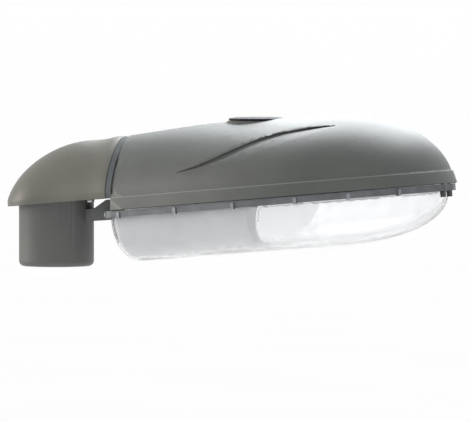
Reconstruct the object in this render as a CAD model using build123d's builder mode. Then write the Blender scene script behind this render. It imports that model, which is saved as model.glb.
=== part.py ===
from build123d import *
from math import cos, radians, sin, sqrt
import os

# Street light head on a vertical collar. Millimetres. The origin is the centre of
# the collar's mouth, +Z runs up the pole and +X runs out towards the nose.

# Pole and collar
pole_radius = 38.0
socket_clearance = 0.5
socket_depth = 75.0
collar_wall = 9.5
collar_lip_round = 7.0
head_tilt = 5.0
crease_height = 81.0

# Plan of the head, measured along its own tilted axis from the pole
neck_radius = 61.0
plan_run_in = 30.0
nose_centre = 386.0
nose_radius = 145.0
seam_centre = 107.0
seam_width = 9.0

# Heights of the crest above the crease, and the pull of the section's curves
lip_height = 6.0
hood_height = 75.5
hood_crest_at = 45.0
crown_height = 84.4
crown_at = 250.0
nose_height = 81.5
hood_curve_power = 1.7
hood_side_pull = 0.36
hood_top_pull = 0.34
nose_side_pull = 0.5
nose_top_pull = 0.55
side_lean = 0.07

# Casting walls and the skirt
hood_wall = 3.5
canopy_wall = 4.0
bulkhead_wall = 5.0
skirt_height = 15.6
crease_ledge = 2.0
skirt_flare = 4.0
seal_wall = 5.0
seal_inset = 0.6
seal_relief = 0.3
rim_seal_inset = 1.2
rim_seal_width = 2.8
seam_gap = 0.5
plate_clearance = 1.5

# Swoosh groove on each side of the canopy
groove_depth = 1.8
groove_start = 208.0
groove_end = 419.0
groove_low = 24.5
groove_high = 66.6
groove_spread = 5.0
groove_rear_handle = (300.0, 36.0)
groove_front_handle = (310.0, 66.0)

# Collar casting under the hood
base_plate_thickness = 4.0
base_gap = 0.5
arm_half_width = 22.0
arm_top = 50.0
arm_shoulder = 30.0
arm_shoulder_drop = 6.0
collar_top = 14.0
cable_way_radius = 12.0
cable_way_height = 26.0
arm_bolt_radius = 4.0
arm_bolt_grip = 6.0

# Hinge of the bowl frame
hinge_at = 79.0
hinge_drop = 20.7
hinge_pin_radius = 3.0
hinge_fit = 0.05
hinge_pin_half = 24.5
hinge_pin_head = 4.4
hinge_pin_round = 1.2
hinge_pin_play = 0.3
tongue_half_width = 14.0
tongue_depth = 27.0
tongue_root = 12.0
knuckle_radius = 7.0
ear_thickness = 7.0
ear_gap = 0.5

bracket_half_width = 40.0
bracket_thickness = 6.0
bracket_gap = 1.5
gusset_rise_at = 57.0
gusset_top_at = 75.0
gusset_drop = 11.4
bracket_grip = 4.0

# Bowl frame
frame_gap = 1.0
frame_height = 8.6
frame_flange = 4.6
frame_inset = 2.5
frame_width = 24.0
frame_lip = 3.0
frame_rear = 96.0
frame_corner = 22.0

# Bowl, covers and optic
bowl_depth = 58.0
bowl_wall = 3.0
bowl_inset = 11.0
bowl_fit = 0.4
bowl_rear = 103.0
bowl_rear_round = 14.0
chin_half_width = 24.0
chin_drop = 20.0
clip_pitch = 88.0
clip_turn = 26.0
clip_width = 4.5
clip_thickness = 1.2
clip_reach = 7.0
clip_leg = 6.6
bowl_side_pull = 0.66
bowl_bottom_pull = 0.62
cover_gap = 1.6
cover_wall = 2.2
cover_front = 292.0
cover_front_slant = 15.0
cover_front_round = 16.0
optic_gap = 3.2
optic_wall = 2.4
optic_rear = 330.0
optic_rear_slant = 24.0
optic_round = 7.0

optic_run_in = 60.0

tab_size = 12.0
tab_thickness = 3.0
tab_inset = 23.6
tab_screw_short = 0.6
tab_screw_radius = 1.6
tab_head_radius = 3.0
tab_head_height = 6.5

# Light engine
sink_level = 4.0
sink_base = 6.0
sink_rear = 322.0
sink_front = 482.0
sink_half_width = 92.0
sink_roof_gap = 7.0
fin_count = 11
fin_thickness = 2.4
pad_thickness = 1.0
board_thickness = 1.6
board_margin = 12.0
chip_rows = 5
chip_columns = 4
chip_pitch = 30.0
chip_size = 5.0
chip_height = 0.8
lens_thickness = 3.0
lens_radius = 9.0
lens_drop = 4.0
tray_thickness = 2.0
tray_level = -12.0
tray_inset = 24.0
tray_rear = 306.0
engine_post_radius = 6.0
engine_post_margin = 9.0
engine_front_margin = 12.0
engine_front_inset = 30.0
post_reach = 90.0
post_clearance = 1.0
board_corner = 4.0
tray_lap = 2.0
tray_post_radius = 4.0
tray_post_spread = 40.0
tray_post_margin = 12.0
lens_taper = 30

# Control gear, hung from a tray under the canopy
gear_level = 34.0
gear_rear = 130.0
gear_front = 296.0
gear_half_width = 60.0
gear_sheet = 2.0
gear_flange = 12.0
gear_post_margin = 8.0
driver_at = 232.0
driver_length = 120.0
driver_width = 64.0
driver_height = 30.0
surge_at = 156.0
surge_across = -27.0
surge_length = 26.0
surge_width = 38.0
surge_height = 24.0
block_at = 146.0
block_across = 18.0
block_length = 22.0
block_height = 18.0
block_ways = 4
block_way_pitch = 9.0
gland_radius = 10.0
gland_bore = 5.0
gland_nut = 13.0
gland_nut_length = 6.0

# Photocell cap on the crest
cell_at = 285.0
cell_radius = 36.0
cell_sink = 1.5
cell_seal = 1.0
cell_rim = 2.0
cell_rise = 1.6
cell_fit = 0.5
cell_boss_wall = 2.0
cell_spigot = 12.0
cell_spigot_length = 16.0
cell_pad = 6.4
cell_taper = 80

# Fasteners
screw_radius = 2.5
screw_head_radius = 4.5
screw_head_height = 3.5
screw_fit = 0.4
hood_screw_length = 16.0
gear_screw_length = 14.0
engine_screw_length = 18.0
grub_radius = 5.0
grub_heights = (22.0, 55.0)
latch_turn = 4.5
latch_inset = 5.5
latch_radius = 2.0
latch_boss = 5.5
latch_head_radius = 3.6
latch_head_height = 7.5
latch_play = 0.6
latch_grip = 4.5
latch_hole = 6.0

collar_radius = pole_radius + socket_clearance + collar_wall
frame_top = -skirt_height - frame_gap
frame_bottom = frame_top - frame_height
seam_rear = seam_centre - seam_width / 2
seam_front = seam_centre + seam_width / 2

head = Plane(
    origin=(0, 0, crease_height),
    x_dir=(cos(radians(head_tilt)), 0, sin(radians(head_tilt))),
    z_dir=(-sin(radians(head_tilt)), 0, cos(radians(head_tilt))),
)


def deck(height):
    """Plane parallel to the crease, its x along the head and its y across it."""
    return head.offset(height)


def station(along):
    """Cross-section plane, its x across the head and its y up."""
    return Plane(origin=head.from_local_coords((along, 0, 0)), x_dir=(0, 1, 0), z_dir=head.x_dir)


def side(across):
    """Lengthwise upright plane, its x along the head and its y up."""
    return Plane(origin=head.from_local_coords((0, across, 0)), x_dir=head.x_dir, z_dir=(0, -1, 0))


head_rise = Axis(head.origin, head.z_dir)
nose_axis = Axis(head.from_local_coords((nose_centre, 0, 0)), head.z_dir * -1)


def smooth(share):
    return share * share * (3 - 2 * share)


def half_width(along, inset=0.0):
    """Half the width of the crease line, from the round rear to the nose."""
    if along < 0:
        rear_radius = half_width(0, inset)
        return rear_radius * sqrt(1 - (along / rear_radius) ** 2)
    share = (along + plan_run_in) / (nose_centre + plan_run_in)
    return neck_radius + (nose_radius - neck_radius) * smooth(share) - inset


def crest(along, inset=0.0):
    """Height of the ridge above the crease."""
    if along < hood_crest_at:
        share = (hood_crest_at - along) / (hood_crest_at + half_width(0, inset))
        rise = (1 - share**hood_curve_power) ** (1 / hood_curve_power)
        return lip_height + (hood_height - lip_height) * rise - inset
    if along < crown_at:
        share = (along - hood_crest_at) / (crown_at - hood_crest_at)
        return hood_height + (crown_height - hood_height) * smooth(share) - inset
    share = (along - crown_at) / (nose_centre - crown_at)
    return crown_height + (nose_height - crown_height) * smooth(share) - inset


def roof(across, low, high, along):
    """Right-hand curve of a section, from its side at the low height to the ridge."""
    share = smooth(max(0, along) / nose_centre)
    side_pull = hood_side_pull + (nose_side_pull - hood_side_pull) * share
    top_pull = hood_top_pull + (nose_top_pull - hood_top_pull) * share
    return Bezier(
        (across, low),
        (across * (1 - side_lean), low + side_pull * (high - low)),
        (top_pull * across, high),
        (0, high),
    )


def hood_section(along, inset, base):
    """Closed half-dome section of the hood, standing on an upright lip."""
    across = half_width(along, inset)
    low = lip_height - inset / 2
    with BuildSketch(station(along)) as section:
        with BuildLine():
            foot = Line((across, base), (across, low))
            curve = roof(across, low, crest(along, inset), along)
            mirror([foot, curve], about=Plane.YZ)
            Line((-across, base), (across, base))
        make_face()
    return section.sketch


def hood_form(rear_turns, stations, inset, base):
    """Solid of the hood's outside, or of its inside when it is inset."""
    rear = [-half_width(0, inset) * cos(radians(turn)) for turn in rear_turns]
    with BuildPart() as form:
        loft([hood_section(along, inset, base) for along in rear + stations])
    return form.part


def canopy_half(along, inset, base):
    """Right-hand outline of the canopy's section, and how far its foot is out."""
    across = half_width(along, inset)
    foot = across + crease_ledge - skirt_flare * base / skirt_height
    if inset == 0:
        skirt = Polyline((foot, base), (across + crease_ledge, 0), (across, 0))
    else:
        skirt = Line((foot, base), (across, 0))
    curve = roof(across, 0, crest(along, inset), along)
    return skirt, curve, foot


def canopy_section(along, inset, base):
    with BuildSketch(station(along)) as section:
        with BuildLine():
            skirt, curve, foot = canopy_half(along, inset, base)
            mirror([skirt, curve], about=Plane.YZ)
            Line((-foot, base), (foot, base))
        make_face()
    return section.sketch


def canopy_form(rear, inset, base):
    """Solid of the canopy's outside, or of its inside when it is inset."""
    stations = [rear + (nose_centre - rear) * step / 6 for step in range(7)]
    with BuildPart() as form:
        loft([canopy_section(along, inset, base) for along in stations])
        with BuildSketch(station(nose_centre)) as profile:
            with BuildLine():
                skirt, curve, foot = canopy_half(nose_centre, inset, base)
                Polyline((0, crest(nose_centre, inset)), (0, base), (foot, base))
            make_face()
        revolve(profile.sketch, axis=nose_axis, revolution_arc=180)
    return form.part


def plan(height, inset, rear, corner):
    """Face inside the skirt's foot: round nose, curved flanks and a square rear."""
    foot_out = crease_ledge + skirt_flare - inset
    places = [rear + (nose_centre - rear) * step / 6 for step in range(7)]
    with BuildSketch(deck(height)) as face:
        with BuildLine():
            flank = Spline([(along, half_width(along) + foot_out) for along in places])
            mirror(flank, about=Plane.XZ)
            CenterArc((nose_centre, 0), nose_radius + foot_out, -90, 180)
            Line(flank @ 0, ((flank @ 0).X, -(flank @ 0).Y))
        make_face()
        if corner > 0:
            fillet(face.vertices().group_by(Axis.X)[0], corner)
    return face.sketch


def bowl_half(along, inset, top, depth):
    """Right-hand curve of the bowl's section, from its top edge to its lowest line."""
    across = half_width(along) + crease_ledge + skirt_flare - inset
    low = frame_bottom - depth
    return Bezier(
        (across, top),
        (across, top - bowl_side_pull * (top - low)),
        (bowl_bottom_pull * across, low),
        (0, low),
    )


def bowl_section(along, inset, top, depth):
    with BuildSketch(station(along)) as section:
        with BuildLine():
            curve = bowl_half(along, inset, top, depth)
            mirror(curve, about=Plane.YZ)
            Line((-(curve @ 0).X, top), curve @ 0)
        make_face()
    return section.sketch


def bowl_form(rear, inset, top, depth, rear_round):
    """Solid of a bowl with a round nose and an upright rear, rounded below its top."""
    places = [rear + (nose_centre - rear) * step / 5 for step in range(6)]
    with BuildPart() as form:
        loft([bowl_section(along, inset, top, depth) for along in places])
        with BuildSketch(station(nose_centre)) as profile:
            with BuildLine():
                curve = bowl_half(nose_centre, inset, top, depth)
                Polyline(curve @ 1, (0, top), curve @ 0)
            make_face()
        revolve(profile.sketch, axis=nose_axis, revolution_arc=180)
        rear_face = form.faces().sort_by(Axis.X)[0]
        fillet(rear_face.edges().sort_by(head_rise)[:-1], rear_round)
    return form.part


def slanted_prism(near, far, slant, top, low, rounding):
    """Block across the head from a slanted end at near to an upright one at far."""
    with BuildPart() as block:
        with BuildSketch(side(0)) as profile:
            with BuildLine():
                Polyline((near, top), (near - slant, low), (far, low), (far, top), close=True)
            make_face()
            fillet(profile.vertices().sort_by_distance((near - slant, low))[0], rounding)
        extrude(amount=nose_radius * 2, both=True)
    return block.part


def hood_plan(height, inset, front):
    """Face inside the hood's lip, from its round rear to a square front."""
    places = [front * step / 4 for step in range(5)]
    with BuildSketch(deck(height)) as face:
        with BuildLine():
            flank = Spline([(along, half_width(along, inset)) for along in places])
            mirror(flank, about=Plane.XZ)
            CenterArc((0, 0), half_width(0, inset), 90, 180)
            Line(flank @ 1, ((flank @ 1).X, -(flank @ 1).Y))
        make_face()
    return face.sketch


def posts(places, low, high, radius):
    """Round posts standing on the deck at the low height."""
    with BuildPart() as group:
        with BuildSketch(deck(low)):
            with Locations(*places):
                Circle(radius)
        extrude(amount=high - low)
    return group.part


def blocks(places, length, width, level, height):
    """Square-cornered blocks on a deck, each centred on its place."""
    with BuildPart() as group:
        with BuildSketch(deck(level)):
            with Locations(*places):
                Rectangle(length, width)
        extrude(amount=height)
    return group.part


def screws(places, seat, length, radius, head_radius, head_height, plane):
    """Screws whose heads hang below their seat, each a separate solid."""
    with BuildPart() as group:
        with BuildSketch(plane.offset(seat)):
            with Locations(*places):
                Circle(radius)
        extrude(amount=length)
        with BuildSketch(plane.offset(seat)):
            with Locations(*places):
                Circle(head_radius)
        extrude(amount=-head_height)
        with BuildSketch(plane.offset(seat - head_height)):
            with Locations(*places):
                RegularPolygon(head_radius * 0.5, 6)
        extrude(amount=head_height * 0.5, mode=Mode.SUBTRACT)
    return group.part


def keep(name, part):
    """Labels a finished piece and writes it."""
    part.label = name
    export_step(part, f"parts/{name}.step")


os.makedirs("parts", exist_ok=True)

# Levels and places that several pieces share
rear_turns = (8, 25, 45, 68, 90)
plate_level = base_gap
arm_bolt_places = [(-52, 17), (52, 17), (-32, 42), (32, 42)]
bracket_bolt_places = [(-29, -9), (29, -9)]
flange_inset = seal_inset + seal_wall + seam_gap
pin_level = -hinge_drop
ear_inner = tongue_half_width + ear_gap
ear_outer = ear_inner + ear_thickness
latch_ring = nose_radius + crease_ledge + skirt_flare - latch_inset
latch_places = [
    (nose_centre + latch_ring * cos(radians(turn)), latch_ring * sin(radians(turn)))
    for turn in (-latch_turn, latch_turn)
]
hood_post_places = [(72, -56), (72, 56)]
gear_post_places = [
    (along, across)
    for along in (gear_rear + gear_post_margin, gear_front - gear_post_margin)
    for across in (gear_post_margin - gear_half_width, gear_half_width - gear_post_margin)
]
step_level = frame_top - frame_flange
bowl_top = step_level - bowl_fit
bowl_flange = bowl_top - frame_bottom
rim_out = crease_ledge + skirt_flare


def tab_places(stations):
    """Places of the screwed tabs inside the rim, on both flanks."""
    return [
        (along, sense * (half_width(along) + rim_out - tab_inset))
        for along in stations
        for sense in (-1, 1)
    ]


cover_tab_places = tab_places((128, 268, 283))
optic_tab_places = tab_places((337, 386))
engine_post_places = [
    (sink_rear + engine_post_margin, engine_post_margin - sink_half_width),
    (sink_rear + engine_post_margin, sink_half_width - engine_post_margin),
    (sink_front - engine_front_inset, engine_front_margin - sink_half_width),
    (sink_front - engine_front_inset, sink_half_width - engine_front_margin),
]

# Forms that several pieces are cut from
hood_stations = [seam_rear * step / 5 for step in (1, 2, 3, 4)]
hood_outside = hood_form(rear_turns, hood_stations + [seam_rear], 0, 0)
hood_inside = hood_form(rear_turns, hood_stations + [seam_rear + 1], hood_wall, -1)
seal_stations = [seam_rear, seam_centre, seam_front]
seal_outside = hood_form([], seal_stations, seal_inset, 0)
seal_inside = hood_form([], seal_stations, seal_inset + seal_wall, -1)
canopy_outside = canopy_form(seam_front, 0, -skirt_height)
canopy_skin = canopy_form(seam_front, groove_depth, -skirt_height)
canopy_inside = canopy_form(seam_front + bulkhead_wall, canopy_wall, -skirt_height - 1)
sink_clearances = posts(
    engine_post_places, sink_level + sink_base, post_reach, engine_post_radius + post_clearance
)
sink_holes = posts(engine_post_places, sink_level - 1, post_reach, screw_radius + screw_fit)
sink_room = canopy_form(sink_rear - 20, canopy_wall + sink_roof_gap, -skirt_height)

# Collar casting: socket, plate under the hood, arm and flange at the seam
plate_face = hood_plan(plate_level, hood_wall + plate_clearance, seam_rear)
flange_face = hood_section(seam_rear, flange_inset, plate_level)
with BuildPart() as pole_collar:
    with BuildSketch(Plane.XY):
        Circle(collar_radius)
    extrude(amount=crease_height + 2 * collar_top)
    split(bisect_by=deck(collar_top), keep=Keep.BOTTOM)
    fillet(pole_collar.edges().group_by(Axis.Z)[0], collar_lip_round)
    extrude(plate_face, amount=base_plate_thickness)
    with BuildSketch(side(0)) as arm_profile:
        with BuildLine():
            Polyline(
                (0, plate_level),
                (0, collar_top),
                (arm_shoulder, arm_top - arm_shoulder_drop),
                (seam_rear, arm_top),
                (seam_rear, plate_level),
                close=True,
            )
        make_face()
    extrude(amount=arm_half_width, both=True)
    extrude(flange_face, amount=seam_width, dir=head.x_dir)
    with Locations((0, 0, socket_depth / 2)):
        Cylinder(pole_radius + socket_clearance, socket_depth, mode=Mode.SUBTRACT)
    with BuildSketch(Plane.XY.offset(socket_depth)):
        Circle(cable_way_radius)
    extrude(amount=crease_height + cable_way_height - socket_depth, mode=Mode.SUBTRACT)
    with BuildSketch(station(0)):
        with Locations((0, cable_way_height)):
            Circle(cable_way_radius)
    extrude(amount=seam_front + 5, mode=Mode.SUBTRACT)
    with BuildSketch(station(seam_rear - 1)):
        with Locations(*arm_bolt_places):
            Circle(arm_bolt_radius + screw_fit)
    extrude(amount=seam_width + 2, mode=Mode.SUBTRACT)
    for height in grub_heights:
        with BuildSketch(Plane(origin=(-collar_radius, 0, height), z_dir=(-1, 0, 0))):
            Circle(grub_radius)
        extrude(amount=-collar_wall, mode=Mode.SUBTRACT)
    with BuildSketch(deck(plate_level - 1)):
        with Locations(*hood_post_places):
            Circle(screw_radius + screw_fit)
    extrude(amount=base_plate_thickness + 2, mode=Mode.SUBTRACT)
keep("pole_collar", pole_collar.part)

hood_posts = posts(hood_post_places, plate_level + base_plate_thickness, post_reach, engine_post_radius)
hood_pilots = posts(hood_post_places, plate_level, hood_screw_length + 1, screw_radius)
with BuildPart() as rear_hood:
    add(hood_outside)
    add(hood_inside, mode=Mode.SUBTRACT)
    add(hood_posts)
    add(hood_outside, mode=Mode.INTERSECT)
    add(hood_pilots, mode=Mode.SUBTRACT)
keep("rear_hood", rear_hood.part)

with BuildPart() as seam_seal:
    add(seal_outside)
    add(seal_inside, mode=Mode.SUBTRACT)
keep("seam_seal", seam_seal.part)

# Canopy: domed shell with its rear bulkhead, posts, nose bosses, seat and grooves
seat_centre = head.from_local_coords((cell_at, 0, crest(cell_at) - cell_sink))
seat = Plane(origin=seat_centre, z_dir=(0, 0, 1))
roof_posts = posts(gear_post_places, gear_level + gear_sheet, post_reach, engine_post_radius)
sink_posts = posts(engine_post_places, sink_level + sink_base, post_reach, engine_post_radius)
gear_pilots = posts(gear_post_places, gear_level, gear_level + gear_screw_length + 1, screw_radius)
sink_pilots = posts(
    engine_post_places, sink_level, sink_level + engine_screw_length + 1, screw_radius
)
nose_bosses = posts(latch_places, -skirt_height, latch_boss - skirt_height, latch_boss * 1.4)
with BuildPart() as canopy:
    add(canopy_outside)
    add(canopy_inside, mode=Mode.SUBTRACT)
    add([roof_posts, sink_posts, nose_bosses])
    with BuildSketch(seat):
        Circle(cell_radius + cell_boss_wall)
    extrude(amount=-cell_pad)
    add(canopy_outside, mode=Mode.INTERSECT)
    with BuildSketch(seat):
        Circle(cell_radius + cell_boss_wall)
    extrude(amount=-canopy_wall)
    with BuildSketch(seat):
        Circle(cell_radius + cell_fit)
    extrude(amount=canopy_wall * 4, mode=Mode.SUBTRACT)
    with BuildSketch(seat):
        Circle(cell_spigot + cell_fit)
    extrude(amount=-canopy_wall * 4, mode=Mode.SUBTRACT)
    with BuildSketch(station(seam_front - 1)):
        with Locations((0, cable_way_height)):
            Circle(gland_radius + 0.2)
        with Locations(*arm_bolt_places):
            Circle(arm_bolt_radius + screw_fit)
        with Locations(*bracket_bolt_places):
            Circle(screw_radius + screw_fit)
    extrude(amount=bulkhead_wall + 2, mode=Mode.SUBTRACT)
    with BuildSketch(deck(-skirt_height)):
        with Locations(*latch_places):
            Circle(latch_radius + latch_play)
    extrude(amount=latch_hole, mode=Mode.SUBTRACT)
    add([gear_pilots, sink_pilots], mode=Mode.SUBTRACT)

with BuildPart() as groove_cutter:
    with BuildSketch(side(0)):
        with BuildLine():
            Bezier(
                (groove_start, groove_low),
                (groove_rear_handle[0], groove_rear_handle[1] + groove_spread),
                (groove_front_handle[0], groove_front_handle[1] + groove_spread),
                (groove_end, groove_high),
            )
            Bezier(
                (groove_start, groove_low),
                (groove_rear_handle[0], groove_rear_handle[1] - groove_spread),
                (groove_front_handle[0], groove_front_handle[1] - groove_spread),
                (groove_end, groove_high),
            )
        make_face()
    extrude(amount=nose_radius * 2, both=True)
    add(canopy_skin, mode=Mode.SUBTRACT)
canopy_part = canopy.part - groove_cutter.part
keep("canopy", canopy_part)

# Hinge bracket: flange on the bulkhead, and a tongue that bears on the collar
with BuildPart() as hinge_bracket:
    with BuildSketch(side(0)):
        with BuildLine():
            Polyline(
                (collar_radius - tongue_root, -gusset_drop),
                (gusset_rise_at, -gusset_drop),
                (gusset_top_at, -bracket_gap),
                (seam_front, -bracket_gap),
                (seam_front, -skirt_height),
                (hinge_at + knuckle_radius, -skirt_height),
                (hinge_at + knuckle_radius, pin_level),
                (hinge_at, pin_level - knuckle_radius),
                (collar_radius - tongue_root, -tongue_depth),
                close=True,
            )
        make_face()
    extrude(amount=tongue_half_width, both=True)
    with BuildSketch(side(0)):
        with Locations((hinge_at, pin_level)):
            Circle(knuckle_radius)
    extrude(amount=tongue_half_width, both=True)
    with BuildSketch(side(0)):
        with BuildLine():
            Polyline(
                (seam_front - bracket_thickness, -bracket_gap),
                (seam_front, -bracket_gap),
                (seam_front, -skirt_height),
                (seam_front - bracket_thickness, -skirt_height),
                close=True,
            )
        make_face()
    extrude(amount=bracket_half_width, both=True)
    with Locations((0, 0, crease_height / 2)):
        Cylinder(collar_radius + 0.1, crease_height * 2, mode=Mode.SUBTRACT)
    with BuildSketch(side(0)):
        with Locations((hinge_at, pin_level)):
            Circle(hinge_pin_radius)
    extrude(amount=tongue_half_width * 2, both=True, mode=Mode.SUBTRACT)
    with BuildSketch(station(seam_front)):
        with Locations(*bracket_bolt_places):
            Circle(screw_radius + screw_fit)
    extrude(amount=-bracket_thickness * 2, mode=Mode.SUBTRACT)
keep("hinge_bracket", hinge_bracket.part)

with BuildPart() as hinge_pin:
    with BuildSketch(side(0)):
        with Locations((hinge_at, pin_level)):
            Circle(hinge_pin_radius)
    extrude(amount=hinge_pin_half, both=True)
    for across, sense in ((-hinge_pin_half, -1), (hinge_pin_half, 1)):
        with BuildSketch(side(across)):
            with Locations((hinge_at, pin_level)):
                Circle(hinge_pin_head)
        extrude(amount=sense * (hinge_pin_half - ear_outer - hinge_pin_play))
    fillet(hinge_pin.edges().group_by(Axis.Y)[0] + hinge_pin.edges().group_by(Axis.Y)[-1], hinge_pin_round)
keep("hinge_pin", hinge_pin.part)

# Bowl frame: stepped rim with two hinge ears and bosses for the latch screws
frame_outer = plan(frame_top, frame_inset, frame_rear, frame_corner)
frame_inner = plan(frame_top, frame_inset + frame_width, frame_rear + frame_width, 8)
lip_inner = plan(step_level, frame_inset + frame_lip, frame_rear + frame_lip, frame_corner - frame_lip)
latch_posts = posts(latch_places, frame_bottom, frame_top, latch_boss)
tab_pilots = posts(
    cover_tab_places + optic_tab_places, step_level - 1, frame_top - 0.4, tab_screw_radius
)
with BuildPart() as bowl_frame:
    extrude(frame_outer, amount=-frame_height)
    extrude(frame_inner, amount=-frame_height, mode=Mode.SUBTRACT)
    extrude(lip_inner, amount=-frame_height, mode=Mode.SUBTRACT)
    for sense in (-1, 1):
        with BuildSketch(side(sense * ear_inner)):
            with Locations((hinge_at, pin_level)):
                Circle(knuckle_radius)
            with BuildLine():
                Polyline(
                    (hinge_at, frame_top),
                    (frame_rear + frame_lip, frame_top),
                    (frame_rear + frame_lip, frame_bottom),
                    (hinge_at, frame_bottom),
                    close=True,
                )
            make_face()
        extrude(amount=-sense * ear_thickness)
    add(latch_posts)
    with BuildSketch(side(0)):
        with Locations((hinge_at, pin_level)):
            Circle(hinge_pin_radius + hinge_fit)
    extrude(amount=ear_outer * 2, both=True, mode=Mode.SUBTRACT)
    with BuildSketch(deck(frame_bottom - 1)):
        with Locations(*latch_places):
            Circle(latch_radius + 0.3)
    extrude(amount=frame_height + 2, mode=Mode.SUBTRACT)
    add(tab_pilots, mode=Mode.SUBTRACT)
keep("bowl_frame", bowl_frame.part)

# Gasket between the skirt and the frame, held by the skirt
seal_rear = seam_front + 1
seal_outer = plan(-skirt_height, rim_seal_inset, seal_rear, 0)
seal_inner = plan(-skirt_height, rim_seal_inset + rim_seal_width, seal_rear + rim_seal_width, 0)
seal_screw_gaps = posts(
    latch_places, -skirt_height - frame_gap, -skirt_height, latch_radius + 0.3
)
with BuildPart() as bowl_seal:
    extrude(seal_outer, amount=-(frame_gap - seal_relief))
    extrude(seal_inner, amount=-frame_gap, mode=Mode.SUBTRACT)
    add(seal_screw_gaps, mode=Mode.SUBTRACT)
keep("bowl_seal", bowl_seal.part)

# Clear bowl: flange in the frame's step, deep wall, and a chin below the hinge
bowl_outside = bowl_form(bowl_rear, bowl_inset, bowl_top, bowl_depth, bowl_rear_round)
bowl_inside = bowl_form(
    bowl_rear + bowl_wall,
    bowl_inset + bowl_wall,
    bowl_top,
    bowl_depth - bowl_wall,
    bowl_rear_round - bowl_wall,
)
flange_inset_outer = frame_inset + frame_lip + bowl_fit
flange_rear = frame_rear + frame_lip + bowl_fit
flange_outer = plan(bowl_top, flange_inset_outer, flange_rear, frame_corner - frame_lip - bowl_fit)
flange_inner = plan(bowl_top, bowl_inset + 1, bowl_rear + 1, 4)
flange_notches = posts(latch_places, bowl_top - bowl_flange, bowl_top, latch_boss + bowl_fit)
with BuildPart() as clear_bowl:
    extrude(flange_outer, amount=-bowl_flange)
    extrude(flange_inner, amount=-bowl_flange, mode=Mode.SUBTRACT)
    add(bowl_outside)
    add(flange_notches, mode=Mode.SUBTRACT)
    with BuildSketch(side(0)):
        with BuildLine():
            Polyline(
                (flange_rear + 1, bowl_top - bowl_flange),
                (bowl_rear + 4, bowl_top - bowl_flange),
                (bowl_rear + 4, frame_bottom - chin_drop),
                close=True,
            )
        make_face()
    extrude(amount=chin_half_width, both=True)
    add(bowl_inside, mode=Mode.SUBTRACT)
keep("clear_bowl", clear_bowl.part)

# Frosted cover over the control gear, inside the rear of the bowl
cover_inset = bowl_inset + bowl_wall + cover_gap
cover_depth = bowl_depth - bowl_wall - cover_gap
cover_low = frame_bottom - cover_depth
cover_outside = bowl_form(
    bowl_rear + bowl_wall + cover_gap,
    cover_inset,
    step_level,
    cover_depth,
    bowl_rear_round - bowl_wall - cover_gap,
)
cover_tabs = blocks(cover_tab_places, tab_size, tab_size, step_level, -tab_thickness)
cover_tab_holes = posts(cover_tab_places, step_level - 10, step_level + 1, tab_screw_radius + 0.2)
cover_inside = bowl_form(
    bowl_rear + bowl_wall + cover_gap + cover_wall,
    cover_inset + cover_wall,
    step_level,
    cover_depth - cover_wall,
    bowl_rear_round - bowl_wall - cover_gap - cover_wall,
)
cover_end = slanted_prism(cover_front, 0, cover_front_slant, step_level, cover_low, cover_front_round)
cover_room = slanted_prism(
    cover_front - cover_wall,
    0,
    cover_front_slant,
    step_level,
    cover_low + cover_wall,
    cover_front_round - cover_wall,
)
with BuildPart() as cover_hollow:
    add(cover_inside)
    add(cover_room, mode=Mode.INTERSECT)
with BuildPart() as gear_cover:
    add(cover_outside)
    add(cover_end, mode=Mode.INTERSECT)
    add(cover_hollow.part, mode=Mode.SUBTRACT)
    add(cover_tabs)
    add(cover_tab_holes, mode=Mode.SUBTRACT)
keep("gear_cover", gear_cover.part)

# Inner optic: clear bowl within the bowl, from a slanted rear wall to the nose
optic_inset = bowl_inset + bowl_wall + optic_gap
optic_depth = bowl_depth - bowl_wall - optic_gap
optic_low = frame_bottom - optic_depth
optic_outside = bowl_form(optic_rear - optic_run_in, optic_inset, step_level, optic_depth, 4)
optic_inside = bowl_form(
    optic_rear - optic_run_in, optic_inset + optic_wall, step_level, optic_depth - optic_wall, 4
)
optic_tabs = blocks(optic_tab_places, tab_size, tab_size, step_level, -tab_thickness)
optic_tab_holes = posts(optic_tab_places, step_level - 10, step_level + 1, tab_screw_radius + 0.2)
far_end = nose_centre + nose_radius * 2
optic_end = slanted_prism(optic_rear, far_end, optic_rear_slant, step_level, optic_low, optic_round)
optic_room = slanted_prism(
    optic_rear + optic_wall,
    far_end,
    optic_rear_slant,
    step_level,
    optic_low + optic_wall,
    optic_round - optic_wall,
)
with BuildPart() as optic_hollow:
    add(optic_inside)
    add(optic_room, mode=Mode.INTERSECT)
with BuildPart() as inner_refractor:
    add(optic_outside)
    add(optic_end, mode=Mode.INTERSECT)
    add(optic_hollow.part, mode=Mode.SUBTRACT)
    add(optic_tabs)
    add(optic_tab_holes, mode=Mode.SUBTRACT)
keep("inner_refractor", inner_refractor.part)

# Spring clips hooked round the rim, at equal steps along the flanks and round the nose
clip_places = [
    (nose_centre - clip_pitch * step, sense * (half_width(nose_centre - clip_pitch * step) + rim_out), 0)
    for step in range(4)
    for sense in (-1, 1)
] + [
    (
        nose_centre + (nose_radius + rim_out) * sin(radians(turn)),
        (nose_radius + rim_out) * cos(radians(turn)) * sense,
        -turn * sense,
    )
    for turn in (clip_turn, 2 * clip_turn)
    for sense in (-1, 1)
]
with BuildPart() as clip_blanks:
    for along, across, turn in clip_places:
        with BuildSketch(deck(frame_bottom - clip_thickness)):
            with Locations(Location((along, across, 0), (0, 0, turn))):
                Rectangle(clip_width, 2 * clip_reach)
        extrude(amount=clip_thickness + clip_leg)
clip_rim = plan(frame_bottom - clip_thickness, frame_inset - clip_thickness, frame_rear, frame_corner)
with BuildPart() as bowl_clips:
    extrude(clip_rim, amount=clip_thickness + clip_leg)
    extrude(frame_outer, amount=-frame_height, mode=Mode.SUBTRACT)
    add(clip_blanks.part, mode=Mode.INTERSECT)
keep("bowl_clips", bowl_clips.part)

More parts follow.
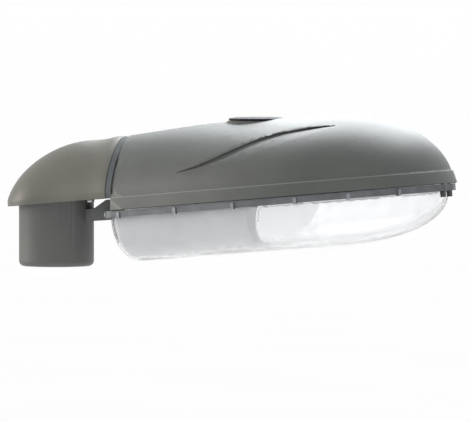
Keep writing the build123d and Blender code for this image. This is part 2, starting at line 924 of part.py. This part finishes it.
# Fasteners
latch_screws = screws(
    latch_places,
    frame_bottom,
    frame_height + frame_gap + latch_grip,
    latch_radius,
    latch_head_radius,
    latch_head_height,
    head,
)
keep("latch_screws", latch_screws)
cover_screws = screws(
    cover_tab_places,
    step_level - tab_thickness,
    tab_thickness + frame_flange - tab_screw_short,
    tab_screw_radius,
    tab_head_radius,
    tab_head_height,
    head,
)
keep("cover_screws", cover_screws)
optic_screws = screws(
    optic_tab_places,
    step_level - tab_thickness,
    tab_thickness + frame_flange - tab_screw_short,
    tab_screw_radius,
    tab_head_radius,
    tab_head_height / 2,
    head,
)
keep("optic_screws", optic_screws)
hood_screws = screws(
    hood_post_places,
    plate_level,
    hood_screw_length,
    screw_radius,
    screw_head_radius,
    screw_head_height,
    head,
)
keep("hood_screws", hood_screws)
arm_bolts = screws(
    arm_bolt_places,
    seam_rear,
    seam_width + bulkhead_wall + arm_bolt_grip,
    arm_bolt_radius,
    arm_bolt_radius * 1.6,
    arm_bolt_radius * 1.2,
    station(0),
)
keep("arm_bolts", arm_bolts)
bracket_screws = screws(
    bracket_bolt_places,
    seam_front - bracket_thickness,
    bracket_thickness + bulkhead_wall + bracket_grip,
    screw_radius,
    screw_head_radius,
    screw_head_height,
    station(0),
)
keep("bracket_screws", bracket_screws)

# Photocell cap and its seal, level with the ground on the sloping crest
with BuildPart() as photocell_seal:
    with BuildSketch(seat):
        Circle(cell_radius - 1)
        Circle(cell_spigot + cell_fit, mode=Mode.SUBTRACT)
    extrude(amount=cell_seal)
keep("photocell_seal", photocell_seal.part)

with BuildPart() as photocell_cap:
    with BuildSketch(seat.offset(cell_seal)):
        Circle(cell_spigot)
    extrude(amount=-cell_seal - cell_spigot_length)
    with BuildSketch(seat.offset(cell_seal)):
        Circle(cell_radius)
    extrude(amount=cell_rim)
    with BuildSketch(seat.offset(cell_seal + cell_rim)):
        Circle(cell_radius)
    extrude(amount=cell_rise, taper=cell_taper)
    fillet(photocell_cap.edges().group_by(Axis.Z)[-1], cell_radius)
keep("photocell_cap", photocell_cap.part)

# Light engine: finned sink, pad, board, chips and lens plate
sink_middle = (sink_rear + sink_front) / 2
sink_length = sink_front - sink_rear
board_level = sink_level - pad_thickness - board_thickness
chip_level = board_level - chip_height
board_length = sink_length - 2 * board_margin
board_width = 2 * (sink_half_width - 2 * board_margin)
fin_pitch = 2 * (sink_half_width - fin_thickness) / (fin_count - 1)
chip_grid = (chip_pitch, chip_pitch, chip_columns, chip_rows)

with BuildPart() as heat_sink:
    with BuildSketch(deck(sink_level)):
        with Locations((sink_middle, 0)):
            Rectangle(sink_length, 2 * sink_half_width)
    extrude(amount=sink_base)
    with BuildSketch(deck(sink_level + sink_base)):
        with Locations((sink_middle, 0)):
            with GridLocations(sink_length, fin_pitch, 1, fin_count):
                Rectangle(sink_length, fin_thickness)
    extrude(amount=crown_height)
    add(sink_clearances, mode=Mode.SUBTRACT)
    add(sink_room, mode=Mode.INTERSECT)
    add(sink_holes, mode=Mode.SUBTRACT)
keep("heat_sink", heat_sink.part)

with BuildPart() as thermal_pad:
    with BuildSketch(deck(sink_level)):
        with Locations((sink_middle, 0)):
            RectangleRounded(board_length, board_width, board_corner)
    extrude(amount=-pad_thickness)
keep("thermal_pad", thermal_pad.part)

with BuildPart() as led_board:
    with BuildSketch(deck(sink_level - pad_thickness)):
        with Locations((sink_middle, 0)):
            RectangleRounded(board_length, board_width, board_corner)
    extrude(amount=-board_thickness)
keep("led_board", led_board.part)

with BuildPart() as led_chips:
    with BuildSketch(deck(board_level)):
        with Locations((sink_middle, 0)):
            with GridLocations(*chip_grid):
                Rectangle(chip_size, chip_size)
    extrude(amount=-chip_height)
keep("led_chips", led_chips.part)

with BuildPart() as lens_plate:
    with BuildSketch(deck(board_level)):
        with Locations((sink_middle, 0)):
            RectangleRounded(board_length, board_width, board_corner)
    extrude(amount=-lens_thickness)
    with BuildSketch(deck(board_level - lens_thickness)):
        with Locations((sink_middle, 0)):
            with GridLocations(*chip_grid):
                Circle(lens_radius)
    extrude(amount=-lens_drop, taper=lens_taper)
    with BuildSketch(deck(board_level)):
        with Locations((sink_middle, 0)):
            with GridLocations(*chip_grid):
                Circle(chip_size)
    extrude(amount=-lens_thickness * 0.6, mode=Mode.SUBTRACT)
keep("lens_plate", lens_plate.part)

tray_plan = plan(tray_level, tray_inset, tray_rear, frame_corner / 2)
tray_post_places = [
    (sink_middle + lengthwise * tray_post_spread, sense * (sink_half_width - tray_post_margin))
    for lengthwise in (-1, 1)
    for sense in (-1, 1)
]
tray_posts = posts(tray_post_places, tray_level + tray_thickness, sink_level, tray_post_radius)
with BuildPart() as reflector_tray:
    extrude(tray_plan, amount=tray_thickness)
    add(tray_posts)
    with BuildSketch(deck(tray_level)):
        with Locations((sink_middle, 0)):
            RectangleRounded(board_length - 2 * tray_lap, board_width - 2 * tray_lap, board_corner)
    extrude(amount=tray_thickness, mode=Mode.SUBTRACT)
keep("reflector_tray", reflector_tray.part)

# Control gear on its folded tray
gear_length = gear_front - gear_rear
gear_middle = (gear_front + gear_rear) / 2
with BuildPart() as gear_tray:
    with BuildSketch(station(gear_rear)):
        with BuildLine():
            Polyline(
                (-gear_half_width, gear_level + gear_sheet - gear_flange),
                (-gear_half_width, gear_level + gear_sheet),
                (gear_half_width, gear_level + gear_sheet),
                (gear_half_width, gear_level + gear_sheet - gear_flange),
                (gear_half_width - gear_sheet, gear_level + gear_sheet - gear_flange),
                (gear_half_width - gear_sheet, gear_level),
                (gear_sheet - gear_half_width, gear_level),
                (gear_sheet - gear_half_width, gear_level + gear_sheet - gear_flange),
                close=True,
            )
        make_face()
    extrude(amount=gear_length)
    with BuildSketch(deck(gear_level)):
        with Locations(*gear_post_places):
            Circle(screw_radius + screw_fit)
    extrude(amount=gear_sheet, mode=Mode.SUBTRACT)
keep("gear_tray", gear_tray.part)

with BuildPart() as led_driver:
    with BuildSketch(deck(gear_level)):
        with Locations((driver_at, 0)):
            RectangleRounded(driver_length, driver_width, 5)
    extrude(amount=-driver_height)
    fillet(led_driver.edges().group_by(Axis.Z)[0], 2)
keep("led_driver", led_driver.part)

with BuildPart() as surge_protector:
    with BuildSketch(deck(gear_level)):
        with Locations((surge_at, surge_across)):
            RectangleRounded(surge_length, surge_width, 3)
    extrude(amount=-surge_height)
keep("surge_protector", surge_protector.part)

with BuildPart() as terminal_block:
    with BuildSketch(deck(gear_level)):
        with Locations((block_at, block_across)):
            Rectangle(block_length, block_ways * block_way_pitch + 4)
    extrude(amount=-block_height)
    with BuildSketch(deck(gear_level - block_height)):
        with Locations((block_at, block_across)):
            with GridLocations(block_length * 0.5, block_way_pitch, 2, block_ways):
                Circle(block_way_pitch * 0.3)
    extrude(amount=block_height * 0.4, mode=Mode.SUBTRACT)
keep("terminal_block", terminal_block.part)

with BuildPart() as cable_gland:
    with BuildSketch(station(seam_rear + 2)):
        with Locations((0, cable_way_height)):
            Circle(gland_radius)
    extrude(amount=seam_width + bulkhead_wall + gland_nut_length)
    with BuildSketch(station(seam_front + bulkhead_wall)):
        with Locations((0, cable_way_height)):
            RegularPolygon(gland_nut, 6)
    extrude(amount=gland_nut_length)
    with BuildSketch(station(seam_rear)):
        with Locations((0, cable_way_height)):
            Circle(gland_bore)
    extrude(amount=seam_width * 4, mode=Mode.SUBTRACT)
keep("cable_gland", cable_gland.part)

# Screws of the gear tray and the sink, and the collar's grub screws
gear_screws = screws(
    gear_post_places,
    gear_level,
    gear_screw_length,
    screw_radius,
    screw_head_radius,
    screw_head_height,
    head,
)
keep("gear_screws", gear_screws)
engine_screws = screws(
    engine_post_places,
    sink_level,
    engine_screw_length,
    screw_radius,
    screw_head_radius,
    screw_head_height,
    head,
)
keep("engine_screws", engine_screws)

with BuildPart() as grub_screws:
    for height in grub_heights:
        with BuildSketch(Plane(origin=(-collar_radius, 0, height), z_dir=(-1, 0, 0))):
            Circle(grub_radius)
        extrude(amount=-(collar_wall - 0.2))
    with BuildSketch(Plane(origin=(-collar_radius, 0, 0), x_dir=(0, 1, 0), z_dir=(-1, 0, 0))):
        with Locations(*[(0, -height) for height in grub_heights]):
            RegularPolygon(grub_radius * 0.55, 6)
    extrude(amount=-collar_wall * 0.5, mode=Mode.SUBTRACT)
keep("grub_screws", grub_screws.part)
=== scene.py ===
import bpy
from math import cos, radians, sin
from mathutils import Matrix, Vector


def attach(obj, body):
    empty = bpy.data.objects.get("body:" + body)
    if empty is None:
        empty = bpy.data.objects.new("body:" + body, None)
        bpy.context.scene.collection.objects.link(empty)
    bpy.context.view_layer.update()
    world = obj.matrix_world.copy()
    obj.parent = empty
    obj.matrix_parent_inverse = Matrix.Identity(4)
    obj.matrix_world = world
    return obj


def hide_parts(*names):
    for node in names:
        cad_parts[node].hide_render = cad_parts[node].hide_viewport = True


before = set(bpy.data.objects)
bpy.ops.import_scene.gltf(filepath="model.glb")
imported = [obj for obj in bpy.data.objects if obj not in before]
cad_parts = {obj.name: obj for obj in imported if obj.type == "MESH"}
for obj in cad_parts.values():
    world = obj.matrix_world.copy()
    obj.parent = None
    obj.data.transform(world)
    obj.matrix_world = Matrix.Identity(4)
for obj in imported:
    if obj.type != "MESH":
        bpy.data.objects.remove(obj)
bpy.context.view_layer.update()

# The head rises toward its nose; its crease starts this high on the pole axis, in metres.
head_tilt = radians(5)
crease_level = 0.081


# ---- finishes ----

class Wire:
    """One socket of a finish. Arithmetic on it adds Math nodes."""

    def __init__(self, finish, socket):
        self.finish = finish
        self.socket = socket

    def maths(self, operation, *values):
        return self.finish.add("ShaderNodeMath", {"operation": operation}, *values)

    def __add__(self, other):
        return self.maths("ADD", self, other)

    def __sub__(self, other):
        return self.maths("SUBTRACT", self, other)

    def __rsub__(self, other):
        return self.maths("SUBTRACT", other, self)

    def __mul__(self, other):
        return self.maths("MULTIPLY", self, other)

    __radd__ = __add__
    __rmul__ = __mul__

    def between(self, low, high):
        """0 below low, 1 above high, and a soft step in between."""
        ramp = {"interpolation_type": "SMOOTHSTEP"}
        return self.finish.add("ShaderNodeMapRange", ramp, self, low, high, 0.0, 1.0)


class Finish:
    """A procedural material, built one node at a time."""

    def __init__(self, name):
        self.material = bpy.data.materials.new(name)
        self.material.use_nodes = True
        self.nodes = self.material.node_tree.nodes
        self.links = self.material.node_tree.links
        self.shader = self.nodes["Principled BSDF"]

    def add(self, kind, settings, *values, out=0):
        node = self.nodes.new(kind)
        for setting, value in settings.items():
            setattr(node, setting, value)
        for place, value in enumerate(values):
            self.feed(node.inputs[place], value)
        return Wire(self, node.outputs[out])

    def feed(self, socket, value):
        if isinstance(value, Wire):
            self.links.new(value.socket, socket)
        elif value is not None:
            socket.default_value = value

    def place(self):
        return self.add("ShaderNodeTexCoord", {}, out="Object")

    def noise(self, scale, detail=3.0, roughness=0.5, stretch=(1, 1, 1)):
        spot = self.place()
        if stretch != (1, 1, 1):
            spot = self.add("ShaderNodeVectorMath", {"operation": "MULTIPLY"}, spot, stretch)
        return self.add("ShaderNodeTexNoise", {}, spot, None, scale, detail, roughness)

    def mix(self, share, first, second):
        """Colour between two colours or wires."""
        node = self.nodes.new("ShaderNodeMix")
        node.data_type = "RGBA"
        self.feed(node.inputs[0], share)
        for place, value in ((6, first), (7, second)):
            self.feed(node.inputs[place], value if isinstance(value, Wire) else (*value, 1.0))
        return Wire(self, node.outputs[2])

    def bump(self, height, depth, under=None):
        """Normal from a height between 0 and 1 that stands depth metres tall."""
        node = self.nodes.new("ShaderNodeBump")
        node.inputs["Strength"].default_value = 1.0
        node.inputs["Distance"].default_value = depth
        self.feed(node.inputs["Height"], height)
        if under is not None:
            self.feed(node.inputs["Normal"], under)
        return Wire(self, node.outputs[0])

    def soft_edges(self, radius):
        return self.add("ShaderNodeBevel", {"samples": 6}, radius)

    def surface(self, **sockets):
        for name, value in sockets.items():
            self.feed(self.shader.inputs[name.replace("_", " ")], value)
        return self.material


def along_head(x, z):
    """Distance along the tilted head from the pole axis, and height above its crease."""
    rise = z - crease_level
    along = x * cos(head_tilt) + rise * sin(head_tilt)
    return along, rise * cos(head_tilt) - x * sin(head_tilt)


def groove_hollow(coat, along, height):
    """1 just under the groove's crisp upper edge, fading below it and toward both ends."""
    groove_rear, groove_front = 208.0, 419.0
    groove_low, groove_rise = 24.5, 42.1
    run = {"interpolation_type": "LINEAR"}
    share = coat.add("ShaderNodeMapRange", run, along, groove_rear, groove_front, 0.0, 1.0)
    hump = share * (1 - share)
    bend = hump * (share * (share * -1.564 + 3.436) - 0.762)
    below = (share + bend) * groove_rise + groove_low - height
    fade = 1 - below.between(0.0, hump * 60 + 1)
    return below.between(-0.6, 0.4) * fade * hump.between(0.0, 0.12)


def cast_coat(name, light, dark, gloss, canopy=False):
    """Sprayed coat on a sand casting: slight clouds of tone, fine grain and orange peel.

    On the canopy the groove is a bumped recess with painted shade below its upper edge, and a
    painted highlight runs along the crease.
    """
    coat = Finish(name)
    clouds = coat.noise(14, 3, 0.55)
    grain = coat.noise(1100, 2, 0.6)
    peel = coat.noise(420, 2, 0.5)
    tone = coat.mix(clouds.between(0.35, 0.68), dark, light)
    speckled_coat_colour = coat.mix(grain.between(0.52, 0.7) * 0.35, tone, tuple(1.35 * part for part in light))
    normal = coat.soft_edges(0.0008)
    if canopy:
        x = coat.add("ShaderNodeSeparateXYZ", {}, coat.place())
        z = coat.add("ShaderNodeSeparateXYZ", {}, coat.place(), out=2)
        along, height = (metres * 1000 for metres in along_head(x, z))
        # The groove mask sets a real bump, and also darkens the colour under the upper edge as
        # painted shade.
        groove_bump_and_painted_shade = groove_hollow(coat, along, height)
        # Painted highlight: a light line along the crease, not thin or worn paint.
        painted_crease_highlight = height.between(-1.0, -0.3) * (1 - height.between(0.3, 1.1))
        # Painted shade: the coat is darkened in the recess under the groove's upper edge.
        speckled_coat_colour = coat.mix(groove_bump_and_painted_shade * 0.7, speckled_coat_colour, tuple(0.45 * part for part in dark))
        speckled_coat_colour = coat.mix(painted_crease_highlight * 0.6, speckled_coat_colour, tuple(2.6 * part for part in light))
        normal = coat.bump(groove_bump_and_painted_shade * -1, 0.0012, normal)
    normal = coat.bump(peel * 0.6 + grain * 0.4, 0.00012, normal)
    return coat.surface(
        Base_Color=speckled_coat_colour,
        Roughness=clouds * 0.14 + grain * 0.1 + gloss,
        Normal=normal,
        Specular_IOR_Level=0.5,
    )


def rubber(name, colour):
    skin = Finish(name)
    clouds = skin.noise(60, 3, 0.6)
    grain = skin.noise(1500, 2, 0.5)
    return skin.surface(
        Base_Color=skin.mix(clouds.between(0.4, 0.65), colour, tuple(1.5 * part for part in colour)),
        Roughness=clouds * 0.2 + 0.5,
        Normal=skin.bump(grain, 0.00008, skin.soft_edges(0.0005)),
    )


def bare_metal(name, colour, rough, lay, lift=0.00004):
    """Metal with fine draw lines along its lay, dull patches and soft edges."""
    metal = Finish(name)
    lines = metal.noise(240, 3, 0.6, lay)
    patches = metal.noise(45, 3, 0.6)
    dull = tuple(0.7 * part for part in colour)
    return metal.surface(
        Base_Color=metal.mix(patches.between(0.35, 0.7) * 0.6 + lines * 0.3, colour, dull),
        Metallic=0.95,
        Roughness=patches * 0.2 + lines * 0.12 + rough,
        Normal=metal.bump(lines, lift, metal.soft_edges(0.0004)),
    )


def moulding(name, colour, rough, mottle=0.12):
    """Opaque moulded plastic with faint flow marks and a sparked skin."""
    plastic = Finish(name)
    flow = plastic.noise(30, 3, 0.5, (1, 3, 1))
    skin = plastic.noise(1300, 2, 0.5)
    dark = tuple((1 - mottle) * part for part in colour)
    return plastic.surface(
        Base_Color=plastic.mix(flow.between(0.35, 0.7), dark, colour),
        Roughness=flow * 0.1 + skin * 0.08 + rough,
        Normal=plastic.bump(skin, 0.00006, plastic.soft_edges(0.0004)),
    )


def clear_moulding():
    """Clear bowl: a trace of haze and waviness left by the mould."""
    clear = Finish("clear_bowl_plastic")
    waves = clear.noise(9, 2, 0.4, (1, 1.6, 1))
    haze = clear.noise(50, 3, 0.5)
    return clear.surface(
        Base_Color=clear.mix(haze.between(0.4, 0.8), (0.95, 0.955, 0.965), (0.9, 0.91, 0.925)),
        Roughness=haze * 0.05 + 0.02,
        Transmission_Weight=0.9,
        IOR=1.22,
        Normal=clear.bump(waves, 0.0012),
    )


def prismatic_moulding(name, painted_glow):
    """Clear optic with long curved prisms that bend the light; its emission is a painted glow,
    though it is no lamp.
    """
    prism = Finish(name)
    flow = prism.noise(16, 2, 0.4, (1, 1, 2.2))
    wisps = prism.noise(60, 3, 0.6, (0.35, 1, 1.6))
    return prism.surface(
        Base_Color=prism.mix(wisps.between(0.45, 0.8), (1.0, 1.0, 1.0), (0.95, 0.955, 0.96)),
        Roughness=wisps * 0.12 + 0.03,
        Transmission_Weight=0.9,
        IOR=1.2,
        # Painted glow: a faint emission that makes the unlit optic read whiter.
        Emission_Color=(1.0, 1.0, 1.0, 1.0),
        Emission_Strength=painted_glow,
        Normal=prism.bump(flow * 0.75 + wisps * 0.25, 0.0015),
    )


def frosted_moulding():
    """Gear cover: milky plastic, a little clearer in drifts."""
    frost = Finish("frosted_plastic")
    drift = frost.noise(11, 3, 0.5)
    skin = frost.noise(900, 2, 0.5)
    return frost.surface(
        Base_Color=frost.mix(drift.between(0.35, 0.7), (0.84, 0.84, 0.845), (0.92, 0.92, 0.925)),
        Roughness=drift * 0.15 + skin * 0.05 + 0.5,
        Transmission_Weight=0.2,
        IOR=1.3,
        Normal=frost.bump(skin, 0.00008, frost.soft_edges(0.001)),
    )


coat_grey = cast_coat("cast_coat_grey", (0.086, 0.092, 0.086), (0.074, 0.079, 0.075), 0.34, True)
# The hood and collar wear the same paint as the canopy. Their tones are shifted as painted light:
# the hood lighter and warmer, the collar a little lighter.
hood_coat_painted_light = cast_coat("cast_coat_hood_painted_light", (0.112, 0.11, 0.092), (0.096, 0.094, 0.079), 0.34)
collar_coat_painted_light = cast_coat("cast_coat_collar_painted_light", (0.094, 0.097, 0.091), (0.08, 0.084, 0.08), 0.4)
bracket_coat = cast_coat("bracket_coat", (0.13, 0.137, 0.13), (0.11, 0.117, 0.11), 0.4)
seam_black = rubber("seam_rubber", (0.04, 0.048, 0.053))
seal_black = rubber("seal_rubber", (0.03, 0.03, 0.032))
pad_grey = rubber("pad_rubber", (0.35, 0.36, 0.38))
bright_steel = bare_metal("bright_steel", (0.75, 0.75, 0.77), 0.16, (1, 1, 1))
dark_steel = bare_metal("dark_steel", (0.12, 0.12, 0.125), 0.35, (1, 1, 1))
frame_alloy = bare_metal("frame_alloy", (0.18, 0.19, 0.2), 0.38, (0.2, 1, 3), 0.00008)
clip_steel = bare_metal("clip_steel", (0.3, 0.31, 0.33), 0.3, (1, 1, 1))
sink_alloy = bare_metal("sink_alloy", (0.7, 0.71, 0.73), 0.28, (0.2, 1, 1), 0.00008)
sheet_zinc = bare_metal("sheet_zinc", (0.6, 0.62, 0.66), 0.3, (0.4, 1, 1))
driver_case = bare_metal("driver_case", (0.68, 0.68, 0.7), 0.34, (0.2, 1, 1))
cap_plastic = moulding("cap_plastic", (0.025, 0.025, 0.029), 0.6)
gland_plastic = moulding("gland_plastic", (0.03, 0.03, 0.033), 0.4)
surge_plastic = moulding("surge_plastic", (0.65, 0.22, 0.04), 0.4)
block_plastic = moulding("block_plastic", (0.72, 0.71, 0.68), 0.4)
white_coat = moulding("white_coat", (0.82, 0.82, 0.81), 0.3, 0.06)
board_mask = moulding("board_mask", (0.8, 0.8, 0.77), 0.35, 0.05)
chip_phosphor = moulding("chip_phosphor", (0.85, 0.62, 0.12), 0.3, 0.15)
clear_bowl = clear_moulding()
# The optic's faint emission is a painted glow.
optic_clear_painted_glow = prismatic_moulding("optic_plastic", 0.115)
lens_clear = prismatic_moulding("lens_plastic", 0.0)
frosted = frosted_moulding()


# ---- pieces taken over from the frame ----

def only(piece):
    bpy.ops.object.select_all(action="DESELECT")
    piece.select_set(True)
    bpy.context.view_layer.objects.active = piece
    return piece


def refine(node, body, material, angle=32):
    """Copy of a CAD node with its triangles joined and its curved faces shaded smooth."""
    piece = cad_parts[node].copy()
    piece.data = piece.data.copy()
    piece.name = node + "_finished"
    bpy.context.scene.collection.objects.link(piece)
    piece.parent = None
    only(piece)
    bpy.ops.object.mode_set(mode="EDIT")
    bpy.ops.mesh.select_all(action="SELECT")
    bpy.ops.mesh.remove_doubles(threshold=0.00001)
    bpy.ops.object.mode_set(mode="OBJECT")
    bpy.ops.object.shade_smooth_by_angle(angle=radians(angle))
    weighted = piece.modifiers.new("weighted_normals", "WEIGHTED_NORMAL")
    weighted.keep_sharp = True
    weighted.weight = 80
    piece.data.materials.clear()
    piece.data.materials.append(material)
    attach(piece, body)
    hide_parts(node)
    return piece


head_finishes = {
    "pole_collar": collar_coat_painted_light,
    "rear_hood": hood_coat_painted_light,
    "canopy": coat_grey,
    "seam_seal": seam_black,
    "photocell_cap": cap_plastic,
    "photocell_seal": seal_black,
    "bowl_seal": seal_black,
    "hinge_bracket": bracket_coat,
    "hinge_pin": bright_steel,
    "heat_sink": sink_alloy,
    "thermal_pad": pad_grey,
    "led_board": board_mask,
    "led_chips": chip_phosphor,
    "lens_plate": lens_clear,
    "reflector_tray": white_coat,
    "gear_tray": sheet_zinc,
    "led_driver": driver_case,
    "surge_protector": surge_plastic,
    "terminal_block": block_plastic,
    "cable_gland": gland_plastic,
    "hood_screws": bright_steel,
    "arm_bolts": bright_steel,
    "bracket_screws": bright_steel,
    "grub_screws": dark_steel,
    "engine_screws": bright_steel,
    "gear_screws": bright_steel,
}
door_finishes = {
    "bowl_frame": frame_alloy,
    "bowl_clips": clip_steel,
    "clear_bowl": clear_bowl,
    "gear_cover": frosted,
    "inner_refractor": optic_clear_painted_glow,
    "latch_screws": dark_steel,
    "cover_screws": dark_steel,
    "optic_screws": dark_steel,
}
for node, material in head_finishes.items():
    refine(node, "head", material)
for node, material in door_finishes.items():
    refine(node, "bowl_door", material)

# The gear cover's rounded front wall stands further forward, close behind the optic.
# It leans back going down, so the line that picks it leans with it. Metres.
cover_advance, front_wall_from, front_lean = 0.022, 0.28, 0.26
cover = only(bpy.data.objects["gear_cover_finished"])
bpy.ops.object.mode_set(mode="EDIT")
bpy.ops.mesh.select_all(action="DESELECT")
bpy.ops.object.mode_set(mode="OBJECT")
for vertex in cover.data.vertices:
    along, height = along_head(vertex.co.x, vertex.co.z)
    vertex.select = along - front_lean * height > front_wall_from
bpy.ops.object.mode_set(mode="EDIT")
advance = (cover_advance * cos(head_tilt), 0, cover_advance * sin(head_tilt))
bpy.ops.transform.translate(value=advance)
bpy.ops.object.mode_set(mode="OBJECT")


# ---- leads inside the gear compartment ----

def lead(name, start, middle, end, colour):
    """Insulated lead between two points, sagging through the middle one; millimetres."""
    bpy.ops.object.select_all(action="DESELECT")
    bpy.ops.curve.primitive_bezier_curve_add(location=(0, 0, 0))
    wire = bpy.context.active_object
    wire.name = name
    curve = wire.data
    curve.bevel_depth = lead_radius
    curve.bevel_resolution = 3
    curve.use_fill_caps = True
    points = curve.splines[0].bezier_points
    points.add(1)
    for point, spot in zip(points, (start, middle, end)):
        point.handle_left_type = point.handle_right_type = "AUTO"
        point.co = Vector(spot) / 1000
    only(wire)
    bpy.ops.object.convert(target="MESH")
    bpy.ops.object.shade_smooth()
    wire.data.materials.append(rubber(name + "_insulation", colour))
    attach(wire, "head")


lead_radius = 0.0011
brown, blue, green = (0.13, 0.05, 0.02), (0.03, 0.1, 0.35), (0.1, 0.3, 0.05)
for count, (colour, side) in enumerate(zip((brown, blue, green), (4, 12, 20))):
    name = "driver_lead_" + str(count + 1)
    lead(name, (154, side + 6, 112), (161, side + 3, 102), (169, side, 112), colour)
for count, (colour, along) in enumerate(zip((brown, blue), (144, 150))):
    name = "surge_lead_" + str(count + 1)
    lead(name, (along, 0, 112), (along, -5, 103), (along + 1, -10, 110), colour)


# ---- stage ----

# The pale floor reaches past the horizon in the picture, far below the head.
floor_width, floor_level = 4000, -2.6
bpy.ops.object.select_all(action="DESELECT")
bpy.ops.mesh.primitive_plane_add(size=floor_width, location=(0, 0, floor_level))
floor = bpy.context.active_object
floor.name = "studio_floor"
pale = Finish("studio_pale")
clouds = pale.noise(0.6)
floor.data.materials.append(
    pale.surface(
        Base_Color=pale.mix(clouds.between(0.3, 0.7), (0.49, 0.49, 0.49), (0.51, 0.51, 0.51)),
        Roughness=0.9,
        Emission_Color=(1.0, 1.0, 1.0, 1.0),
        Emission_Strength=0.53,
    )
)

world = bpy.context.scene.world or bpy.data.worlds.new("studio")
bpy.context.scene.world = world
world.use_nodes = True
world.node_tree.nodes["Background"].inputs["Color"].default_value = (1.0, 1.0, 1.0, 1.0)
world.node_tree.nodes["Background"].inputs["Strength"].default_value = 0.85


def softbox(name, place, target, width, length, watts, colour):
    lamp = bpy.data.lights.new(name, "AREA")
    lamp.shape = "RECTANGLE"
    lamp.size = width
    lamp.size_y = length
    lamp.energy = watts
    lamp.color = colour
    holder = bpy.data.objects.new(name, lamp)
    bpy.context.scene.collection.objects.link(holder)
    holder.location = place
    holder.rotation_euler = (Vector(target) - Vector(place)).to_track_quat("-Z", "Y").to_euler()


middle = (0.23, 0.0, 0.08)
softbox("back_box", (-0.05, 1.75, 0.95), middle, 1.0, 0.6, 14, (0.9, 0.96, 1.0))
softbox("left_box", (-1.8, -0.3, 0.6), middle, 1.0, 1.2, 22, (1.0, 0.96, 0.88))
softbox("top_box", (0.1, 1.15, 1.55), middle, 1.7, 0.8, 42, (0.93, 0.97, 1.0))
bpy.context.scene.view_settings.view_transform = "Standard"

# The camera stands far off at the photograph's angle; one pixel covers 1.28 mm at the object.
# The pole axis falls on pixel column 56.5 and the crease, there, on pixel row 202.6.
azimuth, elevation, distance = radians(22), radians(1.9), 9.0
pixel = 0.00128
picture_width, picture_height = 470, 421
pole_column, crease_row = 56.5, 202.6
right = Vector((cos(azimuth), sin(azimuth), 0))
away = Vector((sin(azimuth) * cos(elevation), -cos(azimuth) * cos(elevation), sin(elevation)))
upright = Vector((-sin(azimuth) * sin(elevation), cos(azimuth) * sin(elevation), cos(elevation)))
sideways = (picture_width / 2 - pole_column) * pixel
upward = crease_level * cos(elevation) - (picture_height / 2 - crease_row) * pixel
aim = right * sideways + upright * upward
lens = bpy.data.cameras.new("photo_camera")
lens.sensor_width = 36
lens.lens = lens.sensor_width * distance / (picture_width * pixel)
lens.clip_end = floor_width
camera = bpy.data.objects.new("photo_camera", lens)
bpy.context.scene.collection.objects.link(camera)
camera.location = aim + away * distance
camera.rotation_euler = (aim - camera.location).to_track_quat("-Z", "Y").to_euler()
bpy.context.scene.camera = camera
